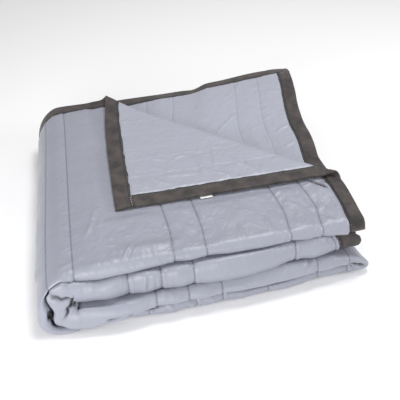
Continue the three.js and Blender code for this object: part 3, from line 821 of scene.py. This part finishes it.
def addNode(tree, kind, settings=None, inputs=None):
    # A node with its settings, and its inputs as values or as links from other sockets
    node = tree.nodes.new("ShaderNode" + kind)
    for name, value in (settings or {}).items():
        setattr(node, name, value)
    for name, value in (inputs or {}).items():
        socket = node.inputs[name]
        if isinstance(value, bpy.types.NodeSocket):
            tree.links.new(value, socket)
        else:
            socket.default_value = value
    return node


def newMaterial(name):
    # A material with its node tree, and the flat cloth's places as a socket
    material = bpy.data.materials.new(name)
    material.use_nodes = True
    tree = material.node_tree
    tree.nodes.clear()
    return material, tree, addNode(tree, "UVMap", {"uv_map": "flatCloth"}).outputs["UV"]


def attribute(tree, name):
    return addNode(tree, "Attribute", {"attribute_name": name}).outputs["Fac"]


def mixed(tree, share, low, high):
    low, high = [hexColour(colour) if isinstance(colour, str) else colour for colour in (low, high)]
    return addNode(tree, "Mix", {"data_type": "RGBA"}, {0: share, 6: low, 7: high}).outputs[2]


def reckoned(tree, operation, *values):
    return addNode(tree, "Math", {"operation": operation}, dict(enumerate(values))).outputs[0]


def ranged(tree, value, start=0.0, end=1.0, low=0.0, high=1.0, kind="LINEAR"):
    inputs = {0: value, 1: start, 2: end, 3: low, 4: high}
    return addNode(tree, "MapRange", {"interpolation_type": kind}, inputs).outputs[0]


def texture(tree, kind, places, settings=None, **inputs):
    return addNode(tree, "Tex" + kind, settings, {"Vector": places, **inputs}).outputs["Fac"]


# A wave texture of scale 1 has one wave in so many metres
waveLength = 0.314


def ribbed(tree, places, direction, width, **inputs):
    # Light and dark ribs in turn, each so many metres wide
    inputs["Scale"] = waveLength / (2 * width)
    return texture(tree, "Wave", places, {"bands_direction": direction}, **inputs)


def bumped(tree, height, **inputs):
    return addNode(tree, "Bump", None, {"Height": height, **inputs}).outputs[0]


def surface(tree, inputs):
    shader = addNode(tree, "BsdfPrincipled", None, inputs)
    addNode(tree, "OutputMaterial", None, {"Surface": shader.outputs[0]})


def dress(material, *pieces):
    for piece in pieces:
        piece.data.materials.clear()
        piece.data.materials.append(material)


# Polyester satin, woven of fine glossy filament: pale grey with a lavender cast, a soft broad
# sheen on every rise, the quilting thread sunk in its seams and painted shade in its deepest
# folds. Filaments are a tenth of a millimetre, drawn here 1.6 mm wide so that a little of them shows
satinFinish = {"colour": "#8f919e", "lighter": "#9a9ca9", "underside": "#a1a4b0", "thread": "#666776",
               "paintedShade": "#20202b", "stitchPitch": 0.004, "filament": 0.0016}
satin, tree, places = newMaterial("polyester_satin")
tone = texture(tree, "Noise", places, Scale=14.0, Detail=3.0)
base = mixed(tree, tone, satinFinish["colour"], satinFinish["lighter"])
faceColour = mixed(tree, attribute(tree, "underFace"), base, satinFinish["underside"])
# The thread sinks in each seam as a dashed darker line
along = addNode(tree, "SeparateXYZ", None, {0: places}).outputs["Y"]
dashes = reckoned(tree, "SINE", reckoned(tree, "MULTIPLY", along, 2 * math.pi / satinFinish["stitchPitch"]))
line = ranged(tree, attribute(tree, "threadShade"), start=0.2, end=0.95, high=0.9, kind="SMOOTHSTEP")
seamLine = reckoned(tree, "MULTIPLY", line, ranged(tree, dashes, start=-1.0, low=0.62))
sewn = mixed(tree, seamLine, faceColour, satinFinish["thread"])
# Painted shade: the deepest folds are darkened nearly to black, as little light comes out of them
shadowed = mixed(tree, attribute(tree, "paintedFoldShade"), sewn, satinFinish["paintedShade"])
weave = ribbed(tree, places, "Y", satinFinish["filament"], Distortion=2.0)
weaveBump = bumped(tree, weave, Strength=0.05, Distance=0.0002)
stretched = addNode(tree, "Mapping", None, {"Vector": places, "Scale": (1.25, 1.0, 1.0)}).outputs[0]
crinkle = texture(tree, "Noise", stretched, Scale=70.0, Detail=3.0, Distortion=0.9)
surface(tree, {
    "Base Color": shadowed, "Roughness": ranged(tree, crinkle, low=0.38, high=0.48),
    "Normal": bumped(tree, crinkle, Strength=0.8, Distance=0.0019, Normal=weaveBump),
    "Sheen Weight": 0.15, "Sheen Roughness": 0.35, "Specular IOR Level": 0.7})

# Polyester binding tape in a tight twill: dark warm grey with fine slanted ribs, a worn soft face
# and the creases of a tape that has been sewn round an edge and folded, with painted shade in the
# groove beside its stitches. Real ribs are half a millimetre wide, drawn at 1.8 mm so that they show
tapeFinish = {"colour": "#463d3b", "darker": "#231e1d", "groove": "#171414", "slant": 40, "ribs": 0.0018}
twill, tree, places = newMaterial("twill_tape")
slant = (0, 0, math.radians(tapeFinish["slant"]))
slanted = addNode(tree, "Mapping", None, {"Vector": places, "Rotation": slant}).outputs[0]
ribs = ribbed(tree, slanted, "X", tapeFinish["ribs"], Distortion=1.0)
ribBump = bumped(tree, ribs, Strength=0.3, Distance=0.0003)
patches = ranged(tree, texture(tree, "Noise", places, Scale=40.0, Detail=4.0), start=0.36, end=0.64)
worn = mixed(tree, patches, tapeFinish["darker"], tapeFinish["colour"])
# The stitches pull a narrow groove beside the tape's inner edge, and its shade is painted there as a dark
# line
across = reckoned(tree, "ABSOLUTE", addNode(tree, "SeparateXYZ", None, {0: places}).outputs["Y"])
groove = ranged(tree, across, start=0.0225, end=0.0245, kind="SMOOTHSTEP")
buckle = texture(tree, "Noise", places, Scale=90.0, Detail=3.0, Distortion=0.8)
surface(tree, {
    "Base Color": mixed(tree, groove, worn, tapeFinish["groove"]), "Roughness": 0.62,
    "Normal": bumped(tree, buckle, Strength=0.7, Distance=0.0016, Normal=ribBump),
    "Sheen Weight": 0.15, "Sheen Roughness": 0.5})

# Spun polyester thread, mid grey on the tapes and white at the corners
threads = {"tape": "#7d7674", "corner": "#e4e2df"}
for name, colour in threads.items():
    threads[name], tree, places = newMaterial("spun_thread_" + name)
    twist = texture(tree, "Wave", places, {"bands_direction": "DIAGONAL"}, Scale=300.0)
    surface(tree, {"Base Color": hexColour(colour), "Roughness": 0.6,
                   "Normal": bumped(tree, twist, Strength=0.2, Distance=0.0001)})

# Woven satin ribbon for the label: clean white, slightly glossy
ribbon, tree, places = newMaterial("white_ribbon")
weave = texture(tree, "Wave", places, {"bands_direction": "X"}, Scale=120.0)
surface(tree, {"Base Color": hexColour("#f2f2ef"), "Roughness": 0.5,
               "Normal": bumped(tree, weave, Strength=0.1, Distance=0.0002)})

dress(satin, quiltedCloth)
dress(twill, *tapes.values())
dress(ribbon, label)
dress(threads["tape"], tapeStitches)
dress(threads["corner"], cornerStitches)
print("materials made")

# Every piece rides on the one body, and all but the stitches stand for a CAD node
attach(quiltedCloth, "root")
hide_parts("quilted_panel")
for node, piece in tapes.items():
    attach(piece, "root")
    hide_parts(node)
for piece in (tapeStitches, cornerStitches):
    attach(piece, "root")
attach(label, "root")
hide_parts("sewn_label")

# Pale floor, soft studio light and the camera
bpy.ops.mesh.primitive_plane_add(size=8, location=(0, 0, 0))
floor = bpy.context.object
floor.name = "studio_floor"
floor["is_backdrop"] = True
floorFinish, tree, places = newMaterial("pale_floor")
grain = addNode(tree, "TexNoise", None, {"Scale": 3.0}).outputs["Fac"]
surface(tree, {"Base Color": mixed(tree, grain, "#fafafb", "#fdfdfd"), "Roughness": 0.9,
               "Specular IOR Level": 0.1})
dress(floorFinish, floor)

world = bpy.data.worlds.new("soft_room")
scene.world = world
world.use_nodes = True
background = world.node_tree.nodes["Background"]
background.inputs["Color"].default_value = hexColour("#ffffff")
background.inputs["Strength"].default_value = 0.48
# Each softbox has its place, its target, its size in metres and its watts
softboxes = {
    "overhead_softbox": ((0.3, 0.1, 1.6), (0, 0, 0.08), 0.6, 13.0),
    "low_front_softbox": ((-0.7, -2.2, 0.6), (0, 0, 0.06), 1.0, 13.0),
    "right_fill": ((1.9, -0.7, 0.9), (0, 0, 0.06), 0.7, 13.0),
    "left_fill": ((-0.85, -0.95, 0.4), (-0.2, -0.2, 0.04), 0.5, 5.5),
}
for name, (place, target, size, power) in softboxes.items():
    lamp = bpy.data.lights.new(name, "AREA")
    lamp.energy, lamp.shape, lamp.size = power, "DISK", size
    holder = bpy.data.objects.new(name, lamp)
    scene.collection.objects.link(holder)
    holder.location = place
    holder.rotation_euler = (Vector(target) - Vector(place)).to_track_quat("-Z", "Y").to_euler()
scene.view_settings.view_transform = "Standard"

# The photo looks from a little left of the front and well above, with a slight tilt
cameraSet = {
    "azimuth": -10.76, "elevation": 38.21, "roll": -1.83, "distance": 1.171,
    "target": (0.0155, -0.0413, 0.040), "lens": 58.5, "sensor": 36.0,
}
azimuth, elevation, roll = [math.radians(cameraSet[k]) for k in ("azimuth", "elevation", "roll")]
back = Vector((math.sin(azimuth) * math.cos(elevation), -math.cos(azimuth) * math.cos(elevation),
               math.sin(elevation)))
right = (-back).cross(Vector((0, 0, 1))).normalized()
upwards = back.cross(right)
rolledRight = right * math.cos(roll) + upwards * math.sin(roll)
rolledUp = upwards * math.cos(roll) - right * math.sin(roll)
lens = bpy.data.cameras.new("photo_camera")
lens.lens, lens.sensor_width = cameraSet["lens"], cameraSet["sensor"]
camera = bpy.data.objects.new("photo_camera", lens)
scene.collection.objects.link(camera)
turned = Matrix((rolledRight, rolledUp, back)).transposed().to_4x4()
camera.matrix_world = Matrix.Translation(Vector(cameraSet["target"]) + back * cameraSet["distance"]) @ turned
scene.camera = camera
print("stage, lights and camera set")

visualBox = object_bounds()
for name, box in (("cad", cadBox), ("visual", visualBox)):
    print(name, "box", [[round(n, 4) for n in c] for c in box])
